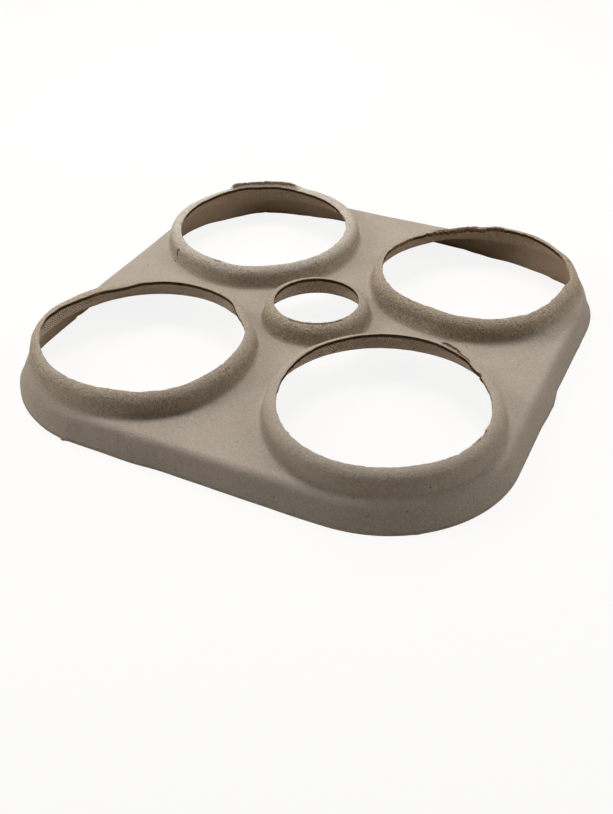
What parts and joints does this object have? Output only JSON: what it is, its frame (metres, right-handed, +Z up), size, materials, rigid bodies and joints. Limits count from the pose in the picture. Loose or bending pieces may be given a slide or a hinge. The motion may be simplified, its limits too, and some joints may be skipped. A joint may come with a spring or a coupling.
{
  "type": "cup carrier tray",
  "caption": "Shallow moulded-fibre drink carrier: a rounded square tray, open underneath, with raised collars that cups hang in and a small finger hole in the middle.",
  "frame": {"origin": "middle of the tray's foot, on the surface that it stands on", "axes": "+Z up through the holes; +X and +Y along the tray's straight sides, so the cup holes lie on the diagonals"},
  "size_m": [0.2008, 0.2008, 0.018],
  "materials": {
    "fibre": "matte"
  },
  "bodies": {
    "root": {"cup_carrier": "fibre"}
  },
  "joints": []
}
